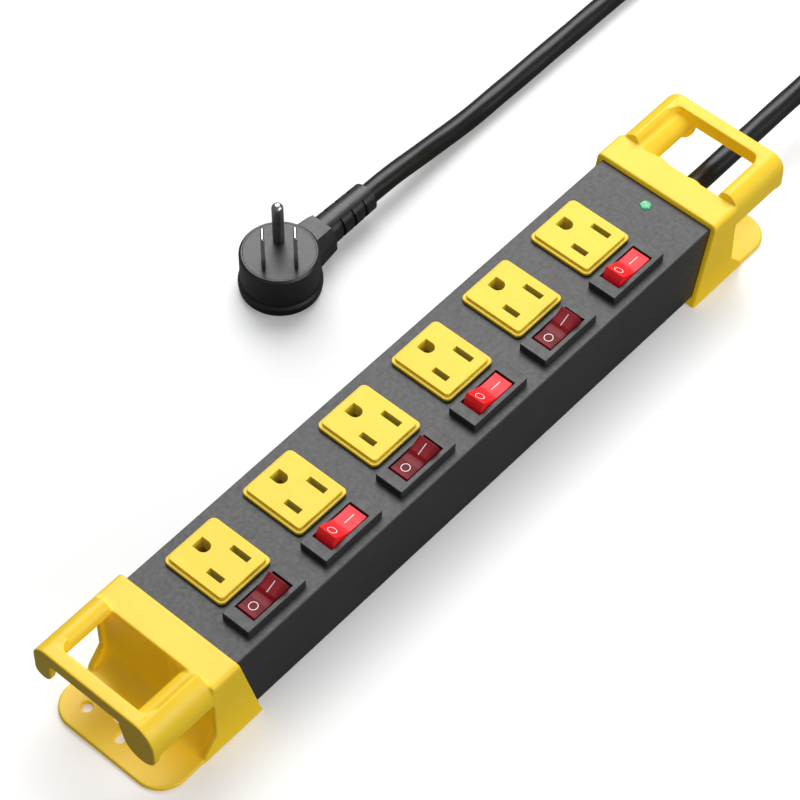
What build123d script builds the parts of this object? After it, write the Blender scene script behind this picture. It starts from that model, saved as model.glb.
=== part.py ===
from build123d import *
import math
import os

# Six-outlet metal power strip with one rocker switch per outlet.
# Frame: X runs along the strip (the cord leaves at +X), Y across it (switches
# on the -Y side), Z up. The origin is midway between the two hanging slots, on
# the underside of the mounting flanges (Z = 0 is the surface it rests on).

os.makedirs("parts", exist_ok=True)

# ---------------------------------------------------------------- dimensions
GAP = 0.05                   # clearance between neighbouring pieces
PITCH = 40.2                 # outlet spacing
MIDDLE_X = -4.8              # midpoint between outlets 3 and 4
OUTLET_X = [MIDDLE_X + PITCH * (i - 2.5) for i in range(6)]
FIRST_X = OUTLET_X[0]

# housing
TOP = 38.0                   # top face
FLOOR = 4.3                  # underside
HALF_W = 27.05
HALF_L = 143.0
WALL = 1.2                   # sheet thickness
BASE_TOP = FLOOR + WALL      # upper face of the base plate

# outlets
SLOT_Y = 2.66                # row of the blade slots
EARTH_Y = 14.6               # row of the earth holes
BLADE = 6.35                 # half of the 12.7 mm blade spacing
FACE_DX = -0.4               # outlet face centre, from the outlet centre line
FACE_Y = 7.4
BODY_L, BODY_W = 22.2, 25.4  # outlet body below the panel

# switches
SWITCH_X = [x - 1.5 for x in OUTLET_X]
SWITCH_Y = -16.4
SWITCH_ON = [False, True, False, True, False, True]
# blade terminals: X from the switch centre, lower end, upper end
TERMINALS = ((-7, 12.05, 29.9), (0, 14.5, 31.2), (7, 14.5, 26.5))

# contacts and wiring
BUS_Z = 20.4                 # underside of the earth, neutral and live contacts
BUS_T = 0.8
BUS_END = 114                # +X end of the earth and neutral buses
NEUTRAL_Y = 8.0
PASSAGE_DX = BLADE + 5.0     # lamp lead passage, from the outlet centre line
LEAD_R = 1.4                 # heavy leads
CORD_R = 4.5
CORD_Z = 21.3                # cord height where it leaves the cap
CAP_WALL = 145.0             # outer face of the cap's end wall

# surge board
BOARD_X, BOARD_Z, BOARD_T = 126.0, 27.0, 1.6
POST_OFFSETS = [(x, y) for x in (-9.5, 12.0) for y in (-16.5, 16.5)]
PIN_Z = BOARD_Z + BOARD_T + GAP   # foot of the component pins
LED_X, LED_Y = 125.5, -0.6

# screws
LIP_SCREWS = [(x, y) for x in (-100, 0, 100) for y in (-22.0, 22.0)]
CAP_SCREW_X, CAP_SCREW_Y = 134, 15
CAP_SCREWS = [
    (x, y) for x in (-CAP_SCREW_X, CAP_SCREW_X) for y in (-CAP_SCREW_Y, CAP_SCREW_Y)
]
BOND_SCREW = (126, 11)
THREAD_R = 1.5

# plug
PLUG_X, PLUG_Y = 24.4, 99.5
PLUG_R, PLUG_H = 16.0, 21.0
PLUG_CORD_Z = 10.5
RELIEF_END_X = PLUG_X + PLUG_R + 36.0   # where the cord levels out at the plug
CORD_END_X = RELIEF_END_X - 26

ARC_45 = math.sqrt(0.5)      # cosine and sine of 45 degrees


def facing_x(x, y, z):
    """Plane looking along +X, its own axes being Y and Z."""
    return Plane(origin=(x, y, z), x_dir=(0, 1, 0), z_dir=(1, 0, 0))


def facing_y(x, y, z):
    """Plane looking along +Y, its first axis being X."""
    return Plane(origin=(x, y, z), x_dir=(1, 0, 0), z_dir=(0, 1, 0))


def save(builder, name):
    builder.part.label = name
    export_step(builder.part, f"parts/{name}.step")


# ------------------------------------------------------------------- housing
LIP_W = 8.0                  # reach of the lips from the outer side face
LIP_LOW, LIP_HIGH = FLOOR + 1.3, FLOOR + 2.5


def build_housing_shell():
    """Sheet-metal channel: top, two sides and two inward lips for the base plate."""
    inner = HALF_W - WALL
    lip = HALF_W - LIP_W
    with BuildPart() as shell:
        with BuildSketch(facing_x(-HALF_L, 0, 0)):
            with BuildLine():
                Polyline(
                    (-HALF_W, FLOOR), (-HALF_W, TOP), (HALF_W, TOP), (HALF_W, FLOOR),
                    (inner, FLOOR), (inner, LIP_LOW), (lip, LIP_LOW), (lip, LIP_HIGH),
                    (inner, LIP_HIGH), (inner, TOP - WALL),
                    (-inner, TOP - WALL), (-inner, LIP_HIGH),
                    (-lip, LIP_HIGH), (-lip, LIP_LOW), (-inner, LIP_LOW), (-inner, FLOOR),
                    close=True,
                )
            make_face()
        extrude(amount=2 * HALF_L)
        # long top edges are softly rounded, as rolled sheet is
        fillet(shell.edges().filter_by(Axis.X).group_by(Axis.Z)[-1], radius=0.6)
        # panel cut-outs for outlets, switches and the lamp
        with BuildSketch(Plane.XY.offset(TOP - WALL - 1)):
            for outlet_x, switch_x in zip(OUTLET_X, SWITCH_X):
                with Locations((outlet_x + FACE_DX, FACE_Y)):
                    Rectangle(BODY_L + 0.4, BODY_W + 0.4)
                with Locations((switch_x, SWITCH_Y)):
                    Rectangle(27.2, 11.0)
            with Locations((LED_X, LED_Y)):
                Circle(2.3)
        extrude(amount=WALL + 3, mode=Mode.SUBTRACT)
        # clearance for the base plate screws through the lips
        with BuildSketch(Plane.XY.offset(FLOOR)):
            with Locations(*LIP_SCREWS):
                Circle(THREAD_R + GAP)
        extrude(amount=3.5, mode=Mode.SUBTRACT)
    save(shell, "housing_shell")


def build_base_plate():
    """Plate between the side walls."""
    with BuildPart() as plate:
        with BuildSketch(Plane.XY.offset(FLOOR)):
            Rectangle(2 * HALF_L, 2 * (HALF_W - WALL) - 0.3)
            with Locations(*LIP_SCREWS):
                Circle(1.6, mode=Mode.SUBTRACT)
            with Locations(*CAP_SCREWS, BOND_SCREW):
                Circle(THREAD_R + GAP, mode=Mode.SUBTRACT)
        extrude(amount=WALL)
    save(plate, "base_plate")


def build_case_screws():
    """M3 pan-head screws: base plate to lips, caps to base plate, bonding lug."""
    # x, y, outer plane of the head, direction of the shank (+1 is up), shank length
    screws = (
        [(x, y, FLOOR - 1.9, 1, 4.6) for x, y in LIP_SCREWS]
        + [(x, y, 0.55, 1, 5.6) for x, y in CAP_SCREWS]
        + [(*BOND_SCREW, BASE_TOP + 2.7, -1, 2.0)]
    )
    with BuildPart() as case_screws:
        for x, y, head_z, way, shank in screws:
            with BuildSketch(Plane(origin=(x, y, head_z), z_dir=(0, 0, way))):
                Circle(2.8)
            extrude(amount=1.85)
            with BuildSketch(Plane(origin=(x, y, head_z + way * 1.8), z_dir=(0, 0, way))):
                Circle(THREAD_R)
            extrude(amount=shank)
            # cross recess in the head
            with BuildSketch(Plane(origin=(x, y, head_z - way * 0.1), z_dir=(0, 0, way))):
                Rectangle(3.2, 0.7)
                Rectangle(0.7, 3.2)
            extrude(amount=1.0, mode=Mode.SUBTRACT)
    save(case_screws, "case_screws")


# ------------------------------------------------------------------ end caps
CAP_W = 59.0
CAP_TOP = 40.5
CAP_RIM = 132.9              # body-side rim of the sleeve at the top
CAP_FOOT = 123.3             # body-side rim of the sleeve at the bottom
CAP_OUT = 146.5              # outer plane of the sleeve
GUSSET_W = 2.6               # side gussets beyond the end wall
FLANGE_END = 174.9           # tip of the mounting flange
FLANGE_W, FLANGE_T = 58.6, 1.7
FLANGE_R = 11.5
HOLE_U, HOLE_Y, HOLE_R = 165.0, 17.7, 2.15
SLOT_V = 0.6                 # middle of the hanging slot
COVE = 9.0                   # hollow radius between end wall and flange
HANDLE_OUT = 176.1           # outer plane of the carry handle
PLATE_T = 3.0
PLATE_IN = HANDLE_OUT - PLATE_T
BAR_IN = 170.5               # inner plane of the cross bar
BAR_LOW, BAR_TOP = 37.3, 44.0
WEB_R = 4.0                  # corner webs between bar and arms


def build_end_cap(name, end):
    """End cap with flange and carry handle; end is +1 at the cord, -1 at the plain end.

    u is the distance outward along X and v the sideways distance, both turned
    with the cap.
    """
    def flat(z):
        return Plane(origin=(0, 0, z), x_dir=(end, 0, 0), z_dir=(0, 0, 1))

    def cross(u):
        return Plane(origin=(end * u, 0, 0), x_dir=(0, end, 0), z_dir=(end, 0, 0))

    def side(v):
        return Plane(origin=(0, end * v, 0), x_dir=(end, 0, 0), z_dir=(0, -end, 0))

    with_cord = end > 0
    wall_w = CAP_W - 2 * GUSSET_W
    with BuildPart() as cap:
        # sleeve with its raked body-side rim and the gusset chamfer outside
        with BuildSketch(side(CAP_W / 2)):
            with BuildLine():
                Polyline(
                    (CAP_RIM, CAP_TOP), (CAP_OUT, CAP_TOP), (CAP_OUT, 10.0),
                    (152.6, 3.1), (153.3, 0), (CAP_FOOT, 0), close=True,
                )
            make_face()
        extrude(amount=CAP_W)
        fillet(cap.edges().filter_by(Axis.X).group_by(Axis.Z)[-1], radius=2.2)
        fillet(
            cap.edges().filter_by(GeomType.LINE).filter_by(
                lambda edge: abs(abs(edge.center().X) - CAP_RIM) < 0.01
                and abs(edge.center().Z - CAP_TOP) < 0.01
            ),
            radius=0.6,
        )
        # the end wall stands a little inside the edges of the side gussets
        with BuildSketch(flat(FLANGE_T)):
            with Locations((CAP_WALL + 10, 0)):
                Rectangle(20, wall_w)
        extrude(amount=CAP_TOP - 2.5 - FLANGE_T, mode=Mode.SUBTRACT)
        # faint upright rib on the end wall
        with BuildSketch(flat(FLANGE_T)):
            with Locations((CAP_WALL - 4.4, 5.5)):
                Circle(5.0)
        extrude(amount=CAP_TOP - 2.6 - FLANGE_T)
        if with_cord:
            # low swellings of the top edge beside the cord
            with BuildSketch(flat(CAP_TOP - 6.0)):
                with Locations((CAP_OUT - 0.1, 9.8)):
                    Ellipse(1.1, 4.8)
                with Locations((CAP_OUT - 0.1, -8.0)):
                    Ellipse(0.8, 2.6)
            extrude(amount=5.7)
        # pocket for the housing
        with BuildSketch(flat(FLOOR - GAP)):
            with Locations((HALF_L + 0.15 - 20, 0)):
                Rectangle(40, 2 * HALF_W + 0.3)
        extrude(amount=TOP - FLOOR + 0.15, mode=Mode.SUBTRACT)

        # coved foot between end wall and flange
        foot_u, foot_z = CAP_WALL - 0.1, FLANGE_T - 0.1
        cove_reach = COVE - COVE * ARC_45
        with BuildSketch(side(CAP_W / 2 - GUSSET_W)):
            with BuildLine():
                Line((foot_u, foot_z), (foot_u, FLANGE_T + COVE))
                ThreePointArc(
                    (foot_u, FLANGE_T + COVE),
                    (CAP_WALL + cove_reach, FLANGE_T + cove_reach),
                    (CAP_WALL + COVE, foot_z),
                )
                Line((CAP_WALL + COVE, foot_z), (foot_u, foot_z))
            make_face()
        extrude(amount=wall_w)
        # mounting flange with large corner radii
        with BuildSketch(flat(0)):
            with Locations(((CAP_FOOT + FLANGE_END) / 2, 0)):
                flange = Rectangle(FLANGE_END - CAP_FOOT, FLANGE_W)
            fillet(flange.vertices().group_by(Axis.X)[-1], radius=FLANGE_R)
        extrude(amount=FLANGE_T)
        fillet(
            cap.edges().filter_by(GeomType.CIRCLE).filter_by(
                lambda edge: abs(edge.radius - FLANGE_R) < 0.01
            ).group_by(Axis.Z)[-1],
            radius=0.5,
        )
        # round fixing hole, at +Y on both caps, and the tee-shaped hanging slot
        with BuildSketch(flat(-1)):
            with Locations((HOLE_U, end * HOLE_Y)):
                Circle(HOLE_R)
            with Locations((159.7, SLOT_V)):
                SlotOverall(19.0, 5.0, rotation=90)
            with Locations((163.2, SLOT_V)):
                SlotCenterToCenter(6.8, 3.8)
        extrude(amount=6, mode=Mode.SUBTRACT)

        # wide grooved handle arm at +v
        with BuildSketch(cross(CAP_WALL)):
            with BuildLine():
                Line((29.4, 31.0), (29.4, 33.0))
                ThreePointArc((29.4, 33.0), (27.6, 39.7), (22.4, BAR_TOP - 0.2))
                ThreePointArc((22.4, BAR_TOP - 0.2), (20.7, 42.5), (19.75, 40.5))
                ThreePointArc((19.75, 40.5), (13.6, 34.5), (19.6, 28.5))
                Line((19.6, 28.5), (26.6, 28.5))
                ThreePointArc((26.6, 28.5), (28.5, 29.2), (29.4, 31.0))
            make_face()
        extrude(amount=PLATE_IN - CAP_WALL)
        # slim handle arm at -v
        with BuildSketch(cross(CAP_WALL)):
            with BuildLine():
                Line((-29.3, 30.8), (-29.3, 37.0))
                ThreePointArc((-29.3, 37.0), (-27.6, 41.9), (-23.7, 44.0))
                ThreePointArc((-23.7, 44.0), (-19.75, 40.1), (-20.9, 37.3))
                Line((-20.9, 37.3), (-25.0, 33.6))
                Line((-25.0, 33.6), (-25.0, 30.0))
                ThreePointArc((-25.0, 30.0), (-27.4, 28.6), (-29.3, 30.8))
            make_face()
        extrude(amount=PLATE_IN - CAP_WALL)
        # the arms stop at the sleeve, so its top stays clear
        with BuildSketch(flat(CAP_TOP)):
            with Locations((CAP_OUT - 15, 0)):
                Rectangle(30, 80)
        extrude(amount=10, mode=Mode.SUBTRACT)
        # cross bar
        with BuildSketch(cross(BAR_IN)):
            with Locations((-1.5, (BAR_LOW + BAR_TOP) / 2)):
                Rectangle(45.5, BAR_TOP - BAR_LOW)
        extrude(amount=PLATE_IN - BAR_IN)
        # corner webs: v of the arm, direction away from it, overlap into it
        for v, way, overlap in ((-21.0, 1, 0.8), (20.9, -1, 1.5)):
            web_u = BAR_IN + 0.2
            with BuildSketch(flat(BAR_LOW + 0.6)):
                with BuildLine():
                    Line((web_u, v - way * overlap), (web_u, v + way * WEB_R))
                    ThreePointArc(
                        (web_u, v + way * WEB_R),
                        (BAR_IN - WEB_R + WEB_R * ARC_45, v + way * WEB_R * (1 - ARC_45)),
                        (BAR_IN - WEB_R, v),
                    )
                    Line((BAR_IN - WEB_R, v), (BAR_IN - WEB_R, v - way * overlap))
                    Line((BAR_IN - WEB_R, v - way * overlap), (web_u, v - way * overlap))
                make_face()
            extrude(amount=BAR_TOP - BAR_LOW - 0.9)
        # outer plate with one broad and one narrow lobe
        with BuildSketch(cross(PLATE_IN)):
            with BuildLine():
                ThreePointArc(
                    (17.4, BAR_TOP), (20.0, BAR_TOP + 0.02), (22.4, BAR_TOP - 0.2)
                )
                ThreePointArc((22.4, BAR_TOP - 0.2), (27.6, 39.7), (29.4, 33.0))
                Spline(
                    (29.4, 33.0), (29.45, 29.6), (28.6, 26.2), (26.4, 23.8),
                    (23.2, 22.6), (19.6, 22.9), (16.3, 24.8), (14.2, 28.0),
                    (13.3, 32.2), (12.4, 35.6), (10.0, BAR_LOW),
                    tangents=((0, -1), (-1, 0)),
                )
                Line((10.0, BAR_LOW), (-19.6, BAR_LOW))
                ThreePointArc((-19.6, BAR_LOW), (-20.8, 36.8), (-21.3, 35.6))
                Line((-21.3, 35.6), (-21.3, 30.4))
                ThreePointArc((-21.3, 30.4), (-25.3, 26.4), (-29.3, 30.4))
                Line((-29.3, 30.4), (-29.3, 37.0))
                ThreePointArc((-29.3, 37.0), (-27.6, 41.9), (-23.7, BAR_TOP))
                Line((-23.7, BAR_TOP), (17.4, BAR_TOP))
            make_face()
        extrude(amount=PLATE_T)

        # recessed holes for the two cap screws, through the sleeve floor
        for radius, depth in ((1.7, 6), (3.3, 3.5)):
            with BuildSketch(flat(-1)):
                with Locations((CAP_SCREW_X, -CAP_SCREW_Y), (CAP_SCREW_X, CAP_SCREW_Y)):
                    Circle(radius)
            extrude(amount=depth, mode=Mode.SUBTRACT)
        if with_cord:
            # hole for the bushing and room for its outer collar
            for u, radius, length in ((130, 6.1, 25), (CAP_WALL, 8.0, 8)):
                with BuildSketch(cross(u)):
                    with Locations((0, CORD_Z)):
                        Circle(radius)
                extrude(amount=length, mode=Mode.SUBTRACT)
    save(cap, name)


# ------------------------------------------------------------------- outlets
FACE_L, FACE_W = 26.2, 29.2  # outer flange of the outlet face
OUTLET_TOP = 41.0
BODY_LOW = 21.4              # underside of the outlet body
COLLAR_LOW = 34.1            # underside of the prong collars
EARTH_R = 2.65               # rounded side of the earth hole


def build_outlet(number, x):
    """Outlet insert: a stepped face above the panel and a hollow body below."""
    face_x = x + FACE_DX
    with BuildPart() as outlet:
        # foot that seats on the panel
        with BuildSketch(Plane((face_x, FACE_Y, TOP))):
            RectangleRounded(FACE_L - 1.0, FACE_W - 1.0, 1.8)
        extrude(amount=0.45)
        # outer flange
        with BuildSketch(Plane((face_x, FACE_Y, TOP + 0.4))):
            RectangleRounded(FACE_L, FACE_W, 2.4)
        extrude(amount=1.3)
        fillet(outlet.edges().group_by(Axis.Z)[-1], radius=0.35)
        # raised face
        with BuildSketch(Plane((face_x, FACE_Y, TOP + 1.6))):
            RectangleRounded(FACE_L - 2.5, FACE_W - 2.5, 1.5)
        extrude(amount=OUTLET_TOP - TOP - 1.6)
        fillet(outlet.edges().group_by(Axis.Z)[-1], radius=0.35)
        # body through the panel
        with BuildSketch(Plane((face_x, FACE_Y, BODY_LOW))):
            Rectangle(BODY_L, BODY_W)
        extrude(amount=TOP - BODY_LOW + 0.2)
        # cavity behind the face
        with BuildSketch(Plane((face_x, FACE_Y, BODY_LOW))):
            Rectangle(BODY_L - 2.0, BODY_W - 2.0)
        extrude(amount=TOP - 0.6 - BODY_LOW, mode=Mode.SUBTRACT)
        # partition between the blade chambers and the earth chamber
        with BuildSketch(Plane((face_x, 9.6, BODY_LOW))):
            Rectangle(20.6, 1.0)
        extrude(amount=TOP - BODY_LOW)
        # collars that guide the prongs below the face
        with BuildSketch(Plane((x, 0, COLLAR_LOW))):
            with Locations((-BLADE, SLOT_Y), (BLADE, SLOT_Y)):
                Rectangle(4.9, 10.9)
            with Locations((0, EARTH_Y + 0.3)):
                Rectangle(8.6, 7.8)
        extrude(amount=TOP - COLLAR_LOW)
        # blade slots, the longer at +X, and the U-shaped earth hole
        with BuildSketch(Plane.XY.offset(BODY_LOW)):
            with Locations((x + BLADE, SLOT_Y)):
                Rectangle(2.5, 8.7)
            with Locations((x - BLADE, SLOT_Y)):
                Rectangle(2.5, 7.2)
            with Locations((x, EARTH_Y)):
                Circle(EARTH_R)
            with Locations((x, EARTH_Y + 1.6)):
                Rectangle(2 * EARTH_R, 3.2)
        extrude(amount=25, mode=Mode.SUBTRACT)
        # snap ribs on the -X and +X sides, under the panel
        for way in (-1, 1):
            rib_x = face_x + way * (BODY_L / 2 + 0.15)
            with BuildSketch(Plane((rib_x, FACE_Y, TOP - WALL - 1.4))):
                Rectangle(0.6, 12)
            extrude(amount=1.3)
    save(outlet, f"outlet_{number}")


def build_contacts(name, strips, clips, offset, leaf, height):
    """Flat strips with a pair of upright spring leaves at every clip centre.

    strips: centre x, centre y, length, width; clips: x, y;
    offset: leaf centre from clip centre; leaf: thickness, width.
    """
    with BuildPart() as contacts:
        with BuildSketch(Plane.XY.offset(BUS_Z)):
            for x, y, length, width in strips:
                with Locations((x, y)):
                    Rectangle(length, width)
        extrude(amount=BUS_T)
        for x, y in clips:
            for way in (-1, 1):
                with BuildSketch(Plane((x + way * offset, y, BUS_Z))):
                    Rectangle(*leaf)
                extrude(amount=height)
    save(contacts, name)


def build_earth_bus():
    """One strip with a pair of spring leaves under every earth hole."""
    start = FIRST_X - 8
    strips = [((start + BUS_END) / 2, EARTH_Y, BUS_END - start, 5.0)]
    clips = [(x, EARTH_Y) for x in OUTLET_X]
    build_contacts("earth_bus", strips, clips, offset=2.9, leaf=(0.8, 4.0), height=13.5)


def build_neutral_bus():
    """Strip between the rows with a tab and clip for every outlet."""
    start = FIRST_X - 3
    strips = [((start + BUS_END) / 2, NEUTRAL_Y, BUS_END - start, 3.2)]
    strips += [(x + BLADE, 3.9, 4.4, 6.8) for x in OUTLET_X]
    clips = [(x + BLADE, SLOT_Y) for x in OUTLET_X]
    build_contacts("neutral_bus", strips, clips, offset=1.4, leaf=(0.7, 4.4), height=13.0)


def build_live_clips():
    """Separate switched live clips, one per outlet, with a solder tab."""
    strips = [(x - BLADE, -1.3, 4.4, 12.4) for x in OUTLET_X]
    clips = [(x - BLADE, SLOT_Y) for x in OUTLET_X]
    build_contacts("live_clips", strips, clips, offset=1.4, leaf=(0.7, 4.4), height=13.0)


CARRIER_Z = 17.9             # underside of the carrier
CARRIER_Y = 7.0
FOOT_X = (-112, -75, -35, 5, 45, 85)


def build_contact_carrier():
    """Insulating carrier that holds the bus strips against the outlets."""
    start, end = FIRST_X - 14, 110
    with BuildPart() as carrier:
        with BuildSketch(Plane.XY.offset(CARRIER_Z)):
            with Locations(((start + end) / 2, CARRIER_Y)):
                Rectangle(end - start, 25.0)
        extrude(amount=BUS_Z - GAP - CARRIER_Z)
        # feet on the base plate
        for x in FOOT_X:
            with BuildSketch(Plane((x, CARRIER_Y, BASE_TOP + GAP))):
                Rectangle(3.0, 22.0)
            extrude(amount=CARRIER_Z - BASE_TOP)
        # passages for the lamp leads
        with BuildSketch(Plane.XY.offset(17)):
            with Locations(*[(x + PASSAGE_DX, NEUTRAL_Y) for x in OUTLET_X]):
                Circle(1.3)
        extrude(amount=5, mode=Mode.SUBTRACT)
    save(carrier, "contact_carrier")


# ------------------------------------------------------------------ switches
OPEN_Y = -16.2               # middle of the opening in the bezel
BEZEL_L, BEZEL_W, BEZEL_TOP = 29.9, 12.75, 41.5
OPEN_L, OPEN_W = 20.2, 9.5
BOX_LOW, BOX_FLOOR = 20.0, 22.0   # switch box: underside and inner floor
PIVOT_Z = 38.8               # rocker pivot height
TILT = 13.0                  # rocker tilt either side of level
ROCKER_W = 8.3
PIN_R = 1.20                 # trunnions
TUBE_DEPTH = 4.2             # lower end of the plunger tube, below the pivot
LEVER_Z = 31.6               # pivot height of the contact lever
LEVER_TILT = 7.0
LEVER_W = 3.0
LAMP_DX = 5.0                # neon lamp, from the switch centre


def along(angle):
    """Direction of the X axis after turning about +Y; positive sinks the +X end."""
    turn = math.radians(angle)
    return (math.cos(turn), 0, -math.sin(turn))


def tilted_side(x, y, z, angle):
    """Upright plane looking along -Y, turned in itself by the tilt."""
    return Plane(origin=(x, y, z), x_dir=along(angle), z_dir=(0, -1, 0))


def below_pivot(x, depth, angle):
    """Plane across the rocker's plunger axis, at a depth below the pivot."""
    turn = math.radians(angle)
    up_x, up_z = math.sin(turn), math.cos(turn)
    return Plane(
        origin=(x - depth * up_x, OPEN_Y, PIVOT_Z - depth * up_z),
        x_dir=along(angle), z_dir=(up_x, 0, up_z),
    )


def build_switch_body(number, x):
    """Moulded switch body: bezel above the panel, box below it."""
    with BuildPart() as body:
        with BuildSketch(Plane((x, SWITCH_Y, TOP))):
            RectangleRounded(BEZEL_L, BEZEL_W, 0.5)
        extrude(amount=BEZEL_TOP - TOP)
        fillet(body.edges().group_by(Axis.Z)[-1], radius=0.25)
        with BuildSketch(Plane((x, SWITCH_Y, BOX_LOW))):
            Rectangle(26.8, 10.8)
        extrude(amount=TOP - BOX_LOW + 0.2)
        with BuildSketch(Plane((x, OPEN_Y, BOX_FLOOR))):
            Rectangle(OPEN_L, OPEN_W)
        extrude(amount=25, mode=Mode.SUBTRACT)
        # bearing holes for the rocker's trunnions
        with BuildSketch(facing_y(x, OPEN_Y - OPEN_W / 2 - 0.9, PIVOT_Z)):
            Circle(PIN_R + GAP)
        extrude(amount=OPEN_W + 1.8, mode=Mode.SUBTRACT)
        # terminal slots in the floor
        with BuildSketch(Plane((x, SWITCH_Y, BOX_LOW - 1))):
            with Locations(*[(offset, 0) for offset, _, _ in TERMINALS]):
                Rectangle(1.1, 5.2)
        extrude(amount=4, mode=Mode.SUBTRACT)
    save(body, f"switch_body_{number}")


def build_rocker(number, x, angle):
    """Saddle-topped hollow rocker with its plunger tube and trunnions."""
    half_w = ROCKER_W / 2
    with BuildPart() as rocker:
        with BuildSketch(tilted_side(x, OPEN_Y + half_w, PIVOT_Z, angle)):
            with BuildLine():
                ThreePointArc((-8.3, 4.6), (-4.1, 3.35), (0, 2.65))
                ThreePointArc((0, 2.65), (4.1, 3.35), (8.3, 4.6))
                ThreePointArc((8.3, 4.6), (8.95, 2.6), (8.7, -3.0))
                Line((8.7, -3.0), (-8.7, -3.0))
                ThreePointArc((-8.7, -3.0), (-8.95, 2.6), (-8.3, 4.6))
            make_face()
        extrude(amount=ROCKER_W)
        # hollow underside
        with BuildSketch(tilted_side(x, OPEN_Y + half_w - 1.1, PIVOT_Z, angle)):
            with BuildLine():
                Polyline(
                    (-7.6, -4.0), (-7.6, 2.8), (0, 1.3), (7.6, 2.8), (7.6, -4.0),
                    close=True,
                )
            make_face()
        extrude(amount=ROCKER_W - 2.2, mode=Mode.SUBTRACT)
        # tube for the plunger
        with BuildSketch(below_pivot(x, TUBE_DEPTH, angle)):
            Circle(2.1)
        extrude(amount=6.0)
        with BuildSketch(below_pivot(x, TUBE_DEPTH + 0.3, angle)):
            Circle(1.35)
        extrude(amount=4.8, mode=Mode.SUBTRACT)
        # trunnions
        for y in (half_w + 0.95, -half_w + GAP):
            with BuildSketch(tilted_side(x, OPEN_Y + y, PIVOT_Z, angle)):
                Circle(PIN_R)
            extrude(amount=1.0)
    save(rocker, f"rocker_{number}")


def build_plunger(number, x, angle):
    """Domed plunger that rides in the rocker and presses the contact lever."""
    with BuildPart() as plunger:
        with BuildSketch(below_pivot(x, 6.5, angle)):
            Circle(1.25)
        extrude(amount=6.3)
        fillet(plunger.edges().filter_by(GeomType.CIRCLE).sort_by(Axis.Z)[0], radius=0.9)
    save(plunger, f"plunger_{number}")


def build_contact_lever(number, x, angle):
    """See-saw contact lever, notched above and below its middle."""
    with BuildPart() as lever:
        with BuildSketch(tilted_side(x, SWITCH_Y + LEVER_W / 2, LEVER_Z, angle)):
            with BuildLine():
                Polyline(
                    (-7.6, -0.4), (-7.6, 0.4), (-1.0, 0.4), (0, 0.15), (1.0, 0.4),
                    (7.6, 0.4), (7.6, -0.4), (0.7, -0.4), (0, -0.15), (-0.7, -0.4),
                    close=True,
                )
            make_face()
        extrude(amount=LEVER_W)
    save(lever, f"contact_lever_{number}")


def build_switch_terminals():
    """Three blade terminals per switch: line, switched and lamp."""
    with BuildPart() as terminals:
        for x in SWITCH_X:
            for offset, low, high in TERMINALS:
                with BuildSketch(Plane((x + offset, SWITCH_Y, low))):
                    Rectangle(0.8, 4.8)
                extrude(amount=high - low)
    save(terminals, "switch_terminals")


def build_live_bus():
    """Live bus under the switches, meeting every line terminal."""
    start, end = FIRST_X - 11, 112
    with BuildPart() as bus:
        with BuildSketch(Plane.XY.offset(11.2)):
            with Locations(((start + end) / 2, SWITCH_Y)):
                Rectangle(end - start, 5.0)
        extrude(amount=BUS_T)
    save(bus, "live_bus")


def build_switch_lamps():
    """Neon lamps inside the switches, each lying along Y on two wires."""
    with BuildPart() as lamps:
        for x in SWITCH_X:
            with BuildSketch(facing_y(x + LAMP_DX, OPEN_Y - 2.4, 34.2)):
                Circle(1.2)
            extrude(amount=4.8)
            for y in (-2.2, 2.2):
                with BuildSketch(Plane((x + LAMP_DX, OPEN_Y + y, BOX_FLOOR + GAP))):
                    Circle(0.3)
                extrude(amount=11.5)
    save(lamps, "switch_lamps")


# --------------------------------------------------------------------- leads
LEAD_TOP = BUS_Z - GAP       # leads end just under the contacts
BOARD_LEAD_TOP = BOARD_Z - 0.1
LEAD_START = 139.8           # stripped end of the cord
LOW_CORE_Z = CORD_Z - 1.2    # live and earth cores
HIGH_CORE_Z = CORD_Z + 2.4   # neutral core


def build_leads(name, runs):
    """Round leads; each run is its corner points, bend radius and lead radius."""
    with BuildPart() as leads:
        for points, bend, radius in runs:
            with BuildLine() as path:
                line = FilletPolyline(*points, radius=bend)
            with BuildSketch(Plane(origin=line @ 0, z_dir=line % 0)):
                Circle(radius)
            sweep(path=path.wires()[0])
    save(leads, name)


def build_hookup_leads():
    runs = []
    for outlet_x, switch_x in zip(OUTLET_X, SWITCH_X):
        # switched terminal to live clip
        start_x, clip_x = switch_x + 1.55, outlet_x - BLADE
        runs.append((
            [(start_x, SWITCH_Y, 16.0), (start_x, -7.0, 16.0),
             (clip_x, -7.0, 16.0), (clip_x, -7.0, LEAD_TOP)], 1.9, 1.1,
        ))
        # lamp terminal, under the carrier, to the neutral bus
        start_x, end_x = switch_x + 8.3, outlet_x + PASSAGE_DX
        runs.append((
            [(start_x, SWITCH_Y, 18.0), (start_x, SWITCH_Y, 14.0),
             (end_x, NEUTRAL_Y, 14.0), (end_x, NEUTRAL_Y, LEAD_TOP)], 2.0, 0.8,
        ))
    # surge board to the live bus
    runs.append((
        [(121.0, -9.0, BOARD_LEAD_TOP), (121.0, -9.0, 13.5),
         (116.0, -12.0, 13.5), (109.0, -15.6, 13.5)], 2.2, LEAD_R,
    ))
    build_leads("hookup_leads", runs)


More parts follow.
